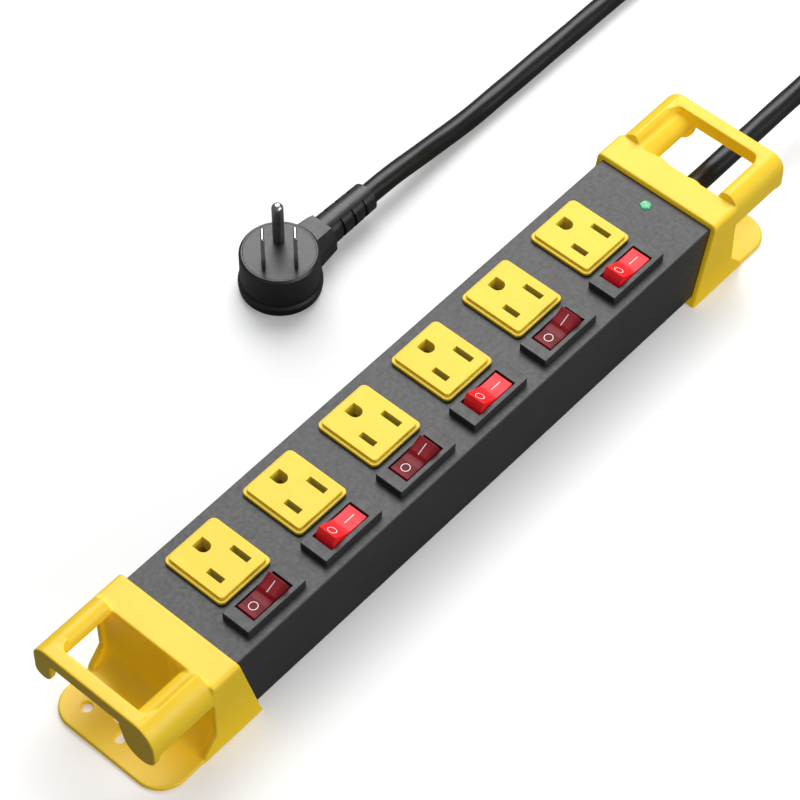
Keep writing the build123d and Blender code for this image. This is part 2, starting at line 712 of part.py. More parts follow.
def build_incoming_leads():
    """Live, neutral and earth leads, fanned out from the stripped end of the cord."""
    routes = {
        "live_lead": [
            (LEAD_START, -2.2, LOW_CORE_Z), (134.0, -2.2, LOW_CORE_Z),
            (126.0, -12.0, LOW_CORE_Z), (126.0, -12.0, BOARD_LEAD_TOP),
        ],
        "neutral_lead": [
            (LEAD_START, 0, HIGH_CORE_Z), (128.0, 0, HIGH_CORE_Z),
            (119.0, NEUTRAL_Y, CORD_Z - 0.2), (BUS_END + 0.1, NEUTRAL_Y, CORD_Z - 0.5),
        ],
        "earth_lead": [
            (LEAD_START, 2.2, LOW_CORE_Z), (134.0, 2.2, LOW_CORE_Z),
            (125.0, 9.3, CORD_Z - 0.8), (114.7, EARTH_Y - 1.7, CORD_Z - 0.5),
        ],
    }
    for name, points in routes.items():
        build_leads(name, [(points, 2.6, LEAD_R)])


def build_bonding_lug():
    """Bonding of the metal housing: ring lug and its short lead."""
    screw_x, screw_y = BOND_SCREW
    barrel_x, lead_x, lead_z = 118.8, 112.3, 7.4
    with BuildPart() as lug:
        with BuildSketch(Plane.XY.offset(BASE_TOP + GAP)):
            with Locations(BOND_SCREW):
                Circle(3.2)
            with Locations((screw_x - 4.0, screw_y)):
                Rectangle(8, 3.0)
            with Locations(BOND_SCREW):
                Circle(1.6, mode=Mode.SUBTRACT)
        extrude(amount=0.7)
        with BuildSketch(Plane((barrel_x, screw_y, BASE_TOP + GAP))):
            Rectangle(1.6, 3.0)
        extrude(amount=3.0)
        with BuildLine() as path:
            line = FilletPolyline(
                (barrel_x, screw_y, lead_z), (lead_x, screw_y, lead_z),
                (lead_x, EARTH_Y, lead_z), (lead_x, EARTH_Y, LEAD_TOP), radius=1.7,
            )
        with BuildSketch(Plane(origin=line @ 0, z_dir=line % 0)):
            Circle(1.1)
        sweep(path=path.wires()[0])
    save(lug, "bonding_lug")


# --------------------------------------------------------- surge protection
DISC_Z = BOARD_Z + 2.2       # underside of the varistor discs
LARGE_DISCS = ((118.5, -14.0), (119.5, 9.0))
SMALL_DISC = (134.0, -11.5)
FUSE_X = 134.0


def build_surge_board():
    with BuildPart() as board:
        with BuildSketch(Plane((BOARD_X, 0, BOARD_Z))):
            Rectangle(27.0, 46.0)
            with Locations(*POST_OFFSETS):
                Circle(1.3, mode=Mode.SUBTRACT)
        extrude(amount=BOARD_T)
    save(board, "surge_board")


def build_board_posts():
    """Posts under the board, each with a spigot through its hole."""
    low = BASE_TOP + GAP
    with BuildPart() as posts:
        for offset, y in POST_OFFSETS:
            with BuildSketch(Plane((BOARD_X + offset, y, low))):
                Circle(2.0)
            extrude(amount=BOARD_Z - low - GAP)
            with BuildSketch(Plane((BOARD_X + offset, y, BOARD_Z - 0.1))):
                Circle(1.2)
            extrude(amount=2.15)
    save(posts, "board_posts")


def build_varistors():
    """Two large discs with rounded tops and a small plain one, on pins."""
    with BuildPart() as varistors:
        for x, y in LARGE_DISCS:
            with BuildSketch(Plane((x, y, DISC_Z))):
                Circle(5.6)
            extrude(amount=4.2)
            fillet(
                varistors.edges().filter_by(GeomType.CIRCLE).group_by(Axis.Z)[-1],
                radius=1.2,
            )
        with BuildSketch(Plane((*SMALL_DISC, DISC_Z))):
            Circle(4.6)
        extrude(amount=4.2)
        for x, y in (*LARGE_DISCS, SMALL_DISC):
            for offset in (-2.5, 2.5):
                with BuildSketch(Plane((x, y + offset, PIN_Z))):
                    Circle(0.4)
                extrude(amount=0.7)
    save(varistors, "varistors")


def build_thermal_fuse():
    with BuildPart() as fuse:
        with BuildSketch(facing_y(FUSE_X, 2.0, BOARD_Z + 3.9)):
            Circle(2.0)
        extrude(amount=10.0)
        for y in (3.0, 11.0):
            with BuildSketch(Plane((FUSE_X, y, PIN_Z))):
                Circle(0.4)
            extrude(amount=1.0)
    save(fuse, "thermal_fuse")


def build_lamp_resistor():
    y = -3.5
    with BuildPart() as resistor:
        with BuildSketch(facing_x(119.0, y, BOARD_Z + 3.1)):
            Circle(1.2)
        extrude(amount=4.0)
        for x in (119.6, 122.4):
            with BuildSketch(Plane((x, y, PIN_Z))):
                Circle(0.3)
            extrude(amount=0.6)
    save(resistor, "lamp_resistor")


def build_status_led():
    with BuildPart() as led:
        with BuildSketch(Plane((LED_X, LED_Y, BOARD_Z + 4.0))):
            Circle(1.9)
        extrude(amount=3.6)
        for offset in (-1.27, 1.27):
            with BuildSketch(Plane((LED_X, LED_Y + offset, PIN_Z))):
                Circle(0.3)
            extrude(amount=2.6)
    save(led, "status_led")


def build_status_lens():
    """Green lens that snaps into the panel over the lamp."""
    low = TOP - 3.0
    with BuildPart() as lens:
        with BuildSketch(Plane((LED_X, LED_Y, low))):
            Circle(2.2)
        extrude(amount=3.0 + 0.6)
        fillet(lens.edges().group_by(Axis.Z)[-1], radius=0.45)
        # collar under the panel
        with BuildSketch(Plane((LED_X, LED_Y, TOP - WALL - 1.0))):
            Circle(3.1)
        extrude(amount=0.9)
        with BuildSketch(Plane((LED_X, LED_Y, low))):
            Circle(1.7)
        extrude(amount=2.2, mode=Mode.SUBTRACT)
    save(lens, "status_lens")


# ----------------------------------------------------------------- mains cord
CORD_START_X = 140.0
LOOP_X = 310.0               # start of the bend
LYING_Z = CORD_R + 0.1       # cord centre where it lies on the floor


def build_power_cord():
    """The cord leaves the cap level, drops, turns back and runs to the plug."""
    with BuildPart() as cord:
        with BuildLine() as path:
            level = Line((CORD_START_X, 0, CORD_Z), (235.0, 0, CORD_Z))
            drop = Spline(
                level @ 1, (LOOP_X, 0, LYING_Z), tangents=((1, 0, 0), (1, 0, 0))
            )
            bend = ThreePointArc(
                drop @ 1,
                (LOOP_X + PLUG_Y / 2, PLUG_Y / 2, LYING_Z),
                (LOOP_X, PLUG_Y, LYING_Z),
            )
            back = Line(bend @ 1, (RELIEF_END_X + 70, PLUG_Y, LYING_Z))
            rise = Spline(
                back @ 1, (RELIEF_END_X, PLUG_Y, PLUG_CORD_Z),
                tangents=((-1, 0, 0), (-1, 0, 0)),
            )
            Line(rise @ 1, (CORD_END_X, PLUG_Y, PLUG_CORD_Z))
        with BuildSketch(Plane(origin=(CORD_START_X, 0, CORD_Z), z_dir=(1, 0, 0))):
            Circle(CORD_R)
        sweep(path=path.wires()[0])
    save(cord, "power_cord")


def build_cord_bushing():
    """Bushing that grips the cord in the cap's end wall."""
    # start x, radius, length
    steps = (
        (HALF_L - 1.6, 7.6, 1.6),    # inner collar
        (HALF_L - 0.1, 6.0, 2.6),    # neck through the wall
        (CAP_WALL + 0.1, 7.4, 1.4),  # outer collar
        (CAP_WALL + 1.4, 5.7, 5.0),  # short sleeve along the cord
    )
    with BuildPart() as bushing:
        for x, radius, length in steps:
            with BuildSketch(facing_x(x, 0, CORD_Z)):
                Circle(radius)
            extrude(amount=length)
        with BuildSketch(facing_x(HALF_L - 2, 0, CORD_Z)):
            Circle(CORD_R + GAP)
        extrude(amount=14, mode=Mode.SUBTRACT)
    save(bushing, "cord_bushing")


# ----------------------------------------------------------------------- plug
POCKET_Z, POCKET_R = 9.0, 14.5
SEAT_Z = 11.0                # inner ends of the prong holes
BLADE_TIP_Z = PLUG_H + 17.8
BLADE_W, BLADE_T = 6.35, 1.52
BLADE_ALONG = -5.8           # blades, from the plug centre towards the earth pin
PIN_ALONG = 6.1
SHANK_R = 2.1                # earth pin inside the moulding
SLOT_IN_R, SLOT_OUT_R = 5.4, 8.0   # flex slots in the strain relief
SLOT_HALF_ANGLE = 58
EARTH_DIR_X = math.cos(math.radians(45))   # direction from blades to earth pin
EARTH_DIR_Y = math.sin(math.radians(45))

# body profile: radius from the plug axis, height
PLUG_PROFILE = (
    (0, 0), (PLUG_R - 0.6, 0), (PLUG_R + 0.6, 1.4), (PLUG_R + 0.9, 3.4),
    (PLUG_R + 0.9, 4.8), (PLUG_R - 0.2, 5.6), (PLUG_R - 0.2, 6.3),
    (PLUG_R, 7.2), (PLUG_R, PLUG_H - 0.9), (PLUG_R - 0.9, PLUG_H - 0.1),
    (0, PLUG_H - 0.1),
)
# neck sections, as Y and Z from the cord axis: at the body, then at the relief
NECK_BODY = (
    (-10.0, -4.5), (-10.0, 3.0), (-6.0, 8.4), (6.0, 8.4),
    (10.0, 3.0), (10.0, -4.5), (6.0, -8.9), (-6.0, -8.9),
)
NECK_RELIEF = (
    (-8.0, -3.8), (-8.0, 3.0), (-5.0, 7.0), (5.0, 7.0),
    (8.0, 3.0), (8.0, -3.8), (5.0, -7.6), (-5.0, -7.6),
)


def polar(radius, angle):
    turn = math.radians(angle)
    return (radius * math.cos(turn), radius * math.sin(turn))


def prong_place(toward_earth, across):
    """X and Y of a point given along the earth direction and across it."""
    return (
        PLUG_X + toward_earth * EARTH_DIR_X + across * EARTH_DIR_Y,
        PLUG_Y + toward_earth * EARTH_DIR_Y - across * EARTH_DIR_X,
    )


def blade_plane(across, z):
    """Level plane at a blade, its first axis along the earth direction."""
    return Plane(
        origin=(*prong_place(BLADE_ALONG, across), z),
        x_dir=(EARTH_DIR_X, EARTH_DIR_Y, 0), z_dir=(0, 0, 1),
    )


def build_plug_body():
    """Low-profile right-angle plug, lying prongs up, its cord leaving at +X."""
    with BuildPart() as plug:
        with BuildSketch(
            Plane(origin=(PLUG_X, PLUG_Y, 0.1), x_dir=(1, 0, 0), z_dir=(0, -1, 0))
        ):
            with BuildLine():
                Polyline(*PLUG_PROFILE, close=True)
            make_face()
        revolve(axis=Axis((PLUG_X, PLUG_Y, 0), (0, 0, 1)))
        # faceted neck
        for x, section in (
            (PLUG_X + 8, NECK_BODY), (PLUG_X + PLUG_R + 8.5, NECK_RELIEF)
        ):
            with BuildSketch(facing_x(x, PLUG_Y, PLUG_CORD_Z)):
                with BuildLine():
                    Polyline(*section, close=True)
                make_face()
        loft()
        # strain relief
        for offset, radius in ((8.0, 6.7), (34.0, 6.2)):
            with BuildSketch(facing_x(PLUG_X + PLUG_R + offset, PLUG_Y, PLUG_CORD_Z)):
                Circle(radius)
        loft()
        # flex slots: three opposite pairs, on the +Y and -Y sides of the relief
        for offset in (14.0, 20.5, 27.0):
            for middle in (0, 180):
                start, end = middle - SLOT_HALF_ANGLE, middle + SLOT_HALF_ANGLE
                with BuildSketch(facing_x(PLUG_X + PLUG_R + offset, PLUG_Y, PLUG_CORD_Z)):
                    with BuildLine():
                        outer = ThreePointArc(
                            polar(SLOT_OUT_R, start),
                            polar(SLOT_OUT_R, middle),
                            polar(SLOT_OUT_R, end),
                        )
                        flank = Line(outer @ 1, polar(SLOT_IN_R, end))
                        inner = ThreePointArc(
                            flank @ 1, polar(SLOT_IN_R, middle), polar(SLOT_IN_R, start)
                        )
                        Line(inner @ 1, outer @ 0)
                    make_face()
                extrude(amount=1.6, mode=Mode.SUBTRACT)
        # bore for the cord
        with BuildSketch(facing_x(CORD_END_X - 0.1, PLUG_Y, PLUG_CORD_Z)):
            Circle(CORD_R + GAP)
        extrude(amount=40, mode=Mode.SUBTRACT)
        # pocket for the blade bridge, open towards the prong face
        with BuildSketch(Plane((PLUG_X, PLUG_Y, POCKET_Z))):
            Circle(POCKET_R)
        extrude(amount=20, mode=Mode.SUBTRACT)
    save(plug, "plug_body")


def build_blade_bridge():
    """Disc that holds the three prongs inside the moulding."""
    with BuildPart() as bridge:
        with BuildSketch(Plane((PLUG_X, PLUG_Y, POCKET_Z + GAP))):
            Circle(POCKET_R - GAP)
        extrude(amount=PLUG_H - POCKET_Z - GAP)
        for across in (-BLADE, BLADE):
            with BuildSketch(blade_plane(across, SEAT_Z)):
                Rectangle(BLADE_W + 0.01, BLADE_T + 0.02)
            extrude(amount=15, mode=Mode.SUBTRACT)
        with BuildSketch(Plane((*prong_place(PIN_ALONG, 0), SEAT_Z))):
            Circle(SHANK_R + 0.01)
        extrude(amount=15, mode=Mode.SUBTRACT)
    save(bridge, "blade_bridge")


def build_plug_blades():
    """Two flat blades with a cross hole near the tip."""
    with BuildPart() as blades:
        for across in (-BLADE, BLADE):
            with BuildSketch(blade_plane(across, SEAT_Z + GAP)):
                Rectangle(BLADE_W, BLADE_T)
            extrude(amount=BLADE_TIP_Z - SEAT_Z - GAP)
            hole_x, hole_y = prong_place(BLADE_ALONG, across - 2)
            with BuildSketch(
                Plane(
                    origin=(hole_x, hole_y, BLADE_TIP_Z - 4.0),
                    x_dir=(EARTH_DIR_X, EARTH_DIR_Y, 0),
                    z_dir=(EARTH_DIR_Y, -EARTH_DIR_X, 0),
                )
            ):
                Circle(1.5)
            extrude(amount=4, mode=Mode.SUBTRACT)
        chamfer(blades.edges().group_by(Axis.Z)[-1], length=0.5)
    save(blades, "plug_blades")


def build_plug_earth_pin():
    """Round pin with a slimmer shank inside the moulding."""
    x, y = prong_place(PIN_ALONG, 0)
    with BuildPart() as pin:
        with BuildSketch(Plane((x, y, SEAT_Z + GAP))):
            Circle(SHANK_R)
        extrude(amount=PLUG_H + 0.3 - SEAT_Z - GAP)
        with BuildSketch(Plane((x, y, PLUG_H + 0.2))):
            Circle(2.38)
        extrude(amount=20.6)
        fillet(pin.edges().group_by(Axis.Z)[-1], radius=2.2)
    save(pin, "plug_earth_pin")


# ------------------------------------------------------------------ build all
build_housing_shell()
build_base_plate()
build_end_cap("end_cap_cord", 1)
build_end_cap("end_cap_plain", -1)
build_case_screws()

for number, x in enumerate(OUTLET_X, start=1):
    build_outlet(number, x)
build_earth_bus()
build_neutral_bus()
build_live_clips()
build_contact_carrier()

for number, (x, is_on) in enumerate(zip(SWITCH_X, SWITCH_ON), start=1):
    # the on end is at +X; the contact lever tilts the other way
    way = 1 if is_on else -1
    build_switch_body(number, x)
    build_rocker(number, x, way * TILT)
    build_plunger(number, x, way * TILT)
    build_contact_lever(number, x, -way * LEVER_TILT)
build_switch_terminals()
build_live_bus()
build_switch_lamps()

build_hookup_leads()
build_incoming_leads()
build_bonding_lug()

build_surge_board()
build_board_posts()
build_varistors()
build_thermal_fuse()
build_lamp_resistor()
build_status_led()
build_status_lens()

build_power_cord()
build_cord_bushing()
build_plug_body()
build_blade_bridge()
build_plug_blades()
build_plug_earth_pin()
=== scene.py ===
import bpy
import bmesh
import math
from mathutils import Vector, Matrix


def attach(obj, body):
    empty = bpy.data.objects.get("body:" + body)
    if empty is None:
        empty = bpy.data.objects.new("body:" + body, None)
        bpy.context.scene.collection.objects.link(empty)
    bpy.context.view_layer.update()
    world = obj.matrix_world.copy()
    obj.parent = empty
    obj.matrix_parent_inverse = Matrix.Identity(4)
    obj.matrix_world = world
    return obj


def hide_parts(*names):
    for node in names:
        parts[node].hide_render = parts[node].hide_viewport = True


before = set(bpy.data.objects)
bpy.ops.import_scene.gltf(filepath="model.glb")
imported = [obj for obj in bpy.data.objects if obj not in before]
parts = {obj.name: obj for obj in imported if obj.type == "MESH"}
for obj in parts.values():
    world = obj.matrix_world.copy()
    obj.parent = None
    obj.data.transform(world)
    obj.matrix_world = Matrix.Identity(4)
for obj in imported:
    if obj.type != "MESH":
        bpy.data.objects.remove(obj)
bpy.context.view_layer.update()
scene = bpy.context.scene
MM = 0.001

# Outlets and their switches
FIRST_OUTLET_X = -105.3
OUTLET_PITCH = 40.2
SWITCH_ON = [False, True] * 3
PIVOT_OFFSET_X = -1.5  # from the outlet's x to the rocker's pivot
PIVOT_Y = -16.2
PIVOT_Z = 38.8
TILT = 13.0  # degrees; a rocker that is on dips at its +X end
# Half of the rocker's top: (distance along from the pivot, height above it)
ROCKER_PROFILE = ((0, 2.65), (4.1, 3.35), (8.3, 4.6))

# Cord
CORD_RADIUS = 4.5
CORD_REST_Z = 4.6  # centre line where the cord lies on the floor
LOOP_X = 310.0
LOOP_RADIUS = 49.75


# ---------------------------------------------------------------- shader nodes
def is_socket(value):
    return isinstance(value, bpy.types.NodeSocket)


def rgba(colour):
    return colour if is_socket(colour) else (*colour, 1.0)


class Material:
    """Writes a node tree around one Principled shader, using object coordinates."""

    def __init__(self, name):
        self.data = bpy.data.materials.new(name)
        self.data.use_nodes = True
        self.tree = self.data.node_tree
        self.tree.nodes.clear()
        self.shader = self.node("BsdfPrincipled")
        self.node("OutputMaterial", {0: self.shader.outputs[0]})
        self.coords = self.node("TexCoord").outputs["Object"]
        self.normal = None

    def put(self, socket, value):
        if is_socket(value):
            self.tree.links.new(value, socket)
        else:
            socket.default_value = value

    def node(self, kind, inputs=None, **settings):
        """Add a node; inputs maps socket names or indices to values or sockets."""
        node = self.tree.nodes.new("ShaderNode" + kind)
        for key, value in settings.items():
            setattr(node, key, value)
        for key, value in (inputs or {}).items():
            self.put(node.inputs[key], value)
        return node

    def set(self, name, value):
        self.put(self.shader.inputs[name], value)

    def noise(self, scale, detail=3.0, rough=0.55, distort=0.0, stretch=None):
        vector = self.coords
        if stretch:
            vector = self.node("Mapping", {"Vector": vector, "Scale": stretch}).outputs[0]
        return self.node("TexNoise", {
            "Vector": vector, "Scale": scale, "Detail": detail,
            "Roughness": rough, "Distortion": distort,
        }).outputs[0]

    def span(self, value, source, to=(0, 1)):
        """Map the source range onto the target range, clamped."""
        return self.node("MapRange", {
            "Value": value, "From Min": source[0], "From Max": source[1],
            "To Min": to[0], "To Max": to[1],
        }).outputs[0]

    def patches(self, scale, detail, source=(0.3, 0.7), to=(0, 1), **shape):
        """Noise with its source range stretched onto the target range."""
        return self.span(self.noise(scale, detail, **shape), source, to)

    def math(self, operation, first, second=0.0):
        return self.node("Math", {0: first, 1: second}, operation=operation).outputs[0]

    def times(self, first, second):
        return self.math("MULTIPLY", first, second)

    def ramp(self, value, stops):
        """Colour ramp from (position, colour) stops."""
        node = self.node("ValToRGB", {0: value})
        elements = node.color_ramp.elements
        while len(elements) < len(stops):
            elements.new(0.5)
        for element, (position, colour) in zip(elements, stops):
            element.position = position
            element.color = rgba(colour)
        return node.outputs[0]

    def mix(self, factor, start, end):
        # Sockets 6 and 7 are the colour inputs, output 2 the colour result.
        inputs = {0: factor, 6: rgba(start), 7: rgba(end)}
        return self.node("Mix", inputs, data_type="RGBA").outputs[2]

    def dot(self, first, second):
        inputs = {0: first, 1: second}
        return self.node("VectorMath", inputs, operation="DOT_PRODUCT").outputs["Value"]

    def distance(self, axis, origin):
        """Distance along axis from origin, in millimetres."""
        inputs = {0: self.coords, 1: [value * MM for value in origin]}
        offset = self.node("VectorMath", inputs, operation="SUBTRACT").outputs[0]
        return self.times(self.dot(offset, axis), 1000.0)

    def edges(self, radius, source=(0.02, 0.30)):
        """0 on flats, rising to 1 along outside and inside edges."""
        rounded = self.node("Bevel", {"Radius": radius * MM}, samples=4).outputs[0]
        facing = self.dot(rounded, self.node("NewGeometry").outputs["Normal"])
        return self.span(self.math("SUBTRACT", 1.0, facing), source)

    def occlusion(self, reach):
        inputs = {"Distance": reach * MM}
        return self.node("AmbientOcclusion", inputs, samples=6).outputs["AO"]

    def bump(self, height, strength, depth):
        """Add a bump on top of any earlier one."""
        inputs = {"Strength": strength, "Distance": depth * MM, "Height": height}
        if self.normal is not None:
            inputs["Normal"] = self.normal
        self.normal = self.node("Bump", inputs).outputs[0]
        self.set("Normal", self.normal)


# ------------------------------------------------------------- material families
def moulded(name, dark, light, edge, rough, grain=1700, coat=0.1, spec=0.5):
    """Injection moulded plastic: cloudy tone, spark-eroded grain, rubbed edges."""
    mat = Material(name)
    base = mat.mix(mat.patches(40, detail=4), dark, light)
    worn = mat.patches(260, detail=4, source=(0.38, 0.66), to=(0.15, 1))
    rub = mat.times(mat.edges(radius=0.35), worn)
    mat.set("Base Color", mat.mix(mat.times(rub, 0.35), base, edge))
    dull = mat.patches(420, detail=5, rough=0.6, to=rough)
    mat.set("Roughness", mat.math("SUBTRACT", dull, mat.times(rub, 0.08)))
    mat.set("Specular IOR Level", spec)
    mat.set("Coat Weight", coat)
    mat.set("Coat Roughness", 0.22)
    mat.bump(mat.noise(grain, detail=2, rough=0.6), strength=0.35, depth=0.03)
    mat.bump(mat.noise(95, detail=3), strength=0.12, depth=0.10)
    return mat


def enamel(name, dark, light, rough):
    """Powder coat on sheet steel: orange peel, fine speckle, bare metal at rubbed edges."""
    mat = Material(name)
    base = mat.mix(mat.patches(26, detail=5), dark, light)
    cells = mat.node("TexVoronoi", {"Vector": mat.coords, "Scale": 2300}, feature="F1")
    fleck = mat.span(cells.outputs["Distance"], source=(0.0, 0.22), to=(1, 0))
    base = mat.mix(mat.times(fleck, 0.10), base, (0.16, 0.16, 0.165))
    worn = mat.patches(330, detail=6, rough=0.7, source=(0.60, 0.70))
    chip = mat.times(mat.edges(radius=0.5, source=(0.05, 0.4)), worn)
    mat.set("Base Color", mat.mix(mat.times(chip, 0.55), base, (0.30, 0.30, 0.31)))
    mat.set("Metallic", mat.times(chip, 0.5))
    mat.set("Roughness", mat.patches(600, detail=4, to=rough))
    mat.set("Specular IOR Level", 0.45)
    mat.bump(mat.noise(1300, detail=2, rough=0.5), strength=0.24, depth=0.025)
    mat.bump(mat.noise(60, detail=2), strength=0.08, depth=0.08)
    return mat


def rubber(name, dark, light, rough=(0.36, 0.48), spec=0.5, lines=False):
    """Flexible PVC: satin skin with fine pits, faint scuffs and optional lines along X."""
    mat = Material(name)
    scuff = mat.patches(150, detail=6, rough=0.68, distort=0.6, source=(0.56, 0.72))
    pale = [min(1.0, channel * 2.2) for channel in light]
    base = mat.mix(mat.patches(55, detail=4), dark, light)
    mat.set("Base Color", mat.mix(mat.times(scuff, 0.25), base, pale))
    satin = mat.patches(700, detail=4, to=rough)
    mat.set("Roughness", mat.math("ADD", satin, mat.times(scuff, 0.10)))
    mat.set("Specular IOR Level", spec)
    mat.bump(mat.noise(2200, detail=2), strength=0.30, depth=0.02)
    if lines:
        along = mat.noise(240, detail=2, stretch=(0.06, 1.0, 1.0))
        mat.bump(along, strength=0.25, depth=0.05)
    return mat


def metal(name, dark, light, rough, grain, stain=None):
    """Stamped or drawn metal: directional scratches and cloudy tarnish."""
    mat = Material(name)
    scratch = mat.noise(1.0, detail=4, rough=0.6, stretch=grain)
    tone = mat.mix(mat.patches(120, detail=5), dark, light)
    depth = mat.span(scratch, source=(0.45, 0.75), to=(0, 0.35))
    tone = mat.mix(depth, tone, [channel * 0.72 for channel in dark])
    if stain:
        spots = mat.patches(210, detail=5, source=(0.55, 0.75), to=(0, 0.6))
        tone = mat.mix(spots, tone, stain)
    mat.set("Base Color", tone)
    mat.set("Metallic", 1.0)
    mat.set("Roughness", mat.span(scratch, source=(0.3, 0.7), to=rough))
    mat.bump(scratch, strength=0.25, depth=0.012)
    return mat


def glowing(name, light, strength, coat=0.6):
    """Smooth translucent piece that gives off light; its base colour is set by the caller."""
    mat = Material(name)
    mat.set("Roughness", mat.patches(800, detail=3, to=(0.084, 0.192)))
    mat.set("Coat Weight", coat)
    mat.set("Emission Color", rgba(light))
    mat.set("Emission Strength", strength)
    mat.bump(mat.noise(900, detail=2), strength=0.08, depth=0.02)
    return mat


def lamp(name, base, light, strength):
    mat = glowing(name, light, strength)
    darker = [channel * 0.86 for channel in base]
    mat.set("Base Color", mat.mix(mat.patches(500, detail=3), base, darker))
    return mat


# ---------------------------------------------------------- individual materials
def yellow_caps():
    """Yellow moulding with a painted glow in its sheltered hollows, standing in for bounced
    light.
    """
    mat = moulded("yellow_moulding", dark=(0.90, 0.605, 0.020), light=(0.95, 0.655, 0.030),
                  edge=(1.0, 0.80, 0.18), rough=(0.36, 0.48), coat=0.06, spec=0.38)
    # Painted light: an orange glow that rises where the moulding is hemmed in, brightening
    # the shade there.
    mat.set("Emission Color", (0.80, 0.47, 0.0, 1))
    painted_bounce_glow = mat.span(mat.occlusion(reach=35), source=(0.85, 0.25), to=(0, 0.34))
    mat.set("Emission Strength", painted_bounce_glow)
    return mat


def yellow_outlets():
    """Yellow moulding with painted shade, dim olive and faintly glowing, deep in its
    openings.
    """
    mat = moulded("yellow_outlet", dark=(0.90, 0.625, 0.028), light=(0.95, 0.67, 0.040),
                  edge=(1.0, 0.80, 0.2), rough=(0.40, 0.52), coat=0.03, grain=2100, spec=0.36)
    # Painted shade and painted glow: deep in the openings the colour turns dim olive and
    # gives off a faint light, in place of the light and shade found there.
    painted_hole_shade = mat.span(mat.occlusion(reach=6), source=(0.62, 0.18))
    plain = mat.shader.inputs["Base Color"].links[0].from_socket
    mat.set("Base Color", mat.mix(painted_hole_shade, plain, (0.19, 0.17, 0.035)))
    mat.set("Emission Color", (0.20, 0.185, 0.035, 1))
    mat.set("Emission Strength", mat.times(painted_hole_shade, 0.30))
    return mat


def green_lens():
    mat = glowing("green_lens", light=(0.04, 0.62, 0.25), strength=0.28, coat=0.15)
    mat.set("Specular IOR Level", 0.25)
    mottle = [(0.40, (0.015, 0.20, 0.08)), (0.62, (0.16, 0.55, 0.30))]
    mat.set("Base Color", mat.ramp(mat.noise(1100, detail=3), mottle))
    return mat


def rocker_frame(index):
    """Pivot of a rocker, the direction along it (towards +X) and the one out of its top."""
    tilt = math.radians(TILT if SWITCH_ON[index] else -TILT)
    pivot_x = FIRST_OUTLET_X + index * OUTLET_PITCH + PIVOT_OFFSET_X
    along = (math.cos(tilt), 0, -math.sin(tilt))
    outward = (math.sin(tilt), 0, math.cos(tilt))
    return (pivot_x, PIVOT_Y, PIVOT_Z), along, outward


# Bands of colour along the rocker, from its -X end (0) to its +X end (1)
LIT_BASE = [
    (0.00, (0.80, 0.012, 0.018)), (0.30, (0.88, 0.010, 0.016)),
    (0.52, (0.80, 0.014, 0.022)), (0.80, (0.86, 0.022, 0.032)),
    (1.00, (0.70, 0.008, 0.014)),
]
LIT_GLOW = [
    (0.00, (0.60, 0.010, 0.016)), (0.28, (0.95, 0.020, 0.030)),
    (0.60, (0.82, 0.060, 0.070)), (0.85, (0.80, 0.085, 0.095)),
    (1.00, (0.45, 0.010, 0.014)),
]
DARK_BASE = [
    (0.00, (0.16, 0.012, 0.016)), (0.10, (0.20, 0.014, 0.020)),
    (0.16, (0.115, 0.001, 0.004)), (0.36, (0.120, 0.001, 0.004)),
    (0.39, (0.185, 0.030, 0.036)), (0.53, (0.190, 0.034, 0.040)),
    (0.55, (0.120, 0.001, 0.004)), (0.62, (0.140, 0.002, 0.006)),
    (0.65, (0.235, 0.024, 0.030)), (1.00, (0.220, 0.022, 0.028)),
]


def red_rocker(index):
    """Translucent red moulding; inner ribs and the lamp show through as bands. The glow of a
    lit rocker is painted stronger on its top, and an unlit one has a faint painted glow.
    """
    lit = SWITCH_ON[index]
    pivot, along, outward = rocker_frame(index)
    mat = Material(f"red_rocker_{index + 1}")
    band = mat.span(mat.distance(along, pivot), source=(-9.0, 9.0))
    if lit:
        base = mat.ramp(band, LIT_BASE)
        mat.set("Emission Color", mat.ramp(band, LIT_GLOW))
        # Painted light: the lamp's glow is made stronger high on the top and weaker down the
        # sides, like light falling from above.
        height = mat.distance(outward, pivot)
        painted_top_light = mat.span(height, source=(-2.5, 3.0), to=(0.35, 1.0))
        mat.set("Emission Strength", mat.times(painted_top_light, 0.17))
    else:
        across = mat.math("ABSOLUTE", mat.distance((0, 1, 0), pivot))
        rib = mat.span(across, source=(2.9, 3.3), to=(0.0, 0.45))
        base = mat.mix(rib, mat.ramp(band, DARK_BASE), (0.09, 0.001, 0.003))
        # Painted glow: with its lamp off the rocker still gives off a faint red light,
        # standing in for light shining through the plastic.
        mat.set("Emission Color", (0.30, 0.01, 0.015, 1))
        mat.set("Emission Strength", 0.10)
    haze = mat.patches(300, detail=4, source=(0.35, 0.65), to=(0, 0.14 if lit else 0.05))
    mat.set("Base Color", mat.mix(haze, base, (0.45, 0.06, 0.07)))
    mat.set("Roughness", mat.patches(520, detail=4, to=(0.30, 0.40)))
    mat.set("Coat Weight", 0.12 if lit else 0.02)
    mat.set("Coat Roughness", 0.22)
    mat.set("Specular IOR Level", 0.16 if lit else 0.10)
    mat.bump(mat.noise(800, detail=2), strength=0.10, depth=0.02)
    return mat


# ------------------------------------------------------- materials on the pieces
def numbered(name):
    return [f"{name}_{index + 1}" for index in range(len(SWITCH_ON))]


def paint(mat, *names):
    for name in names:
        slots = parts[name].data.materials
        slots.clear()
        slots.append(mat.data)


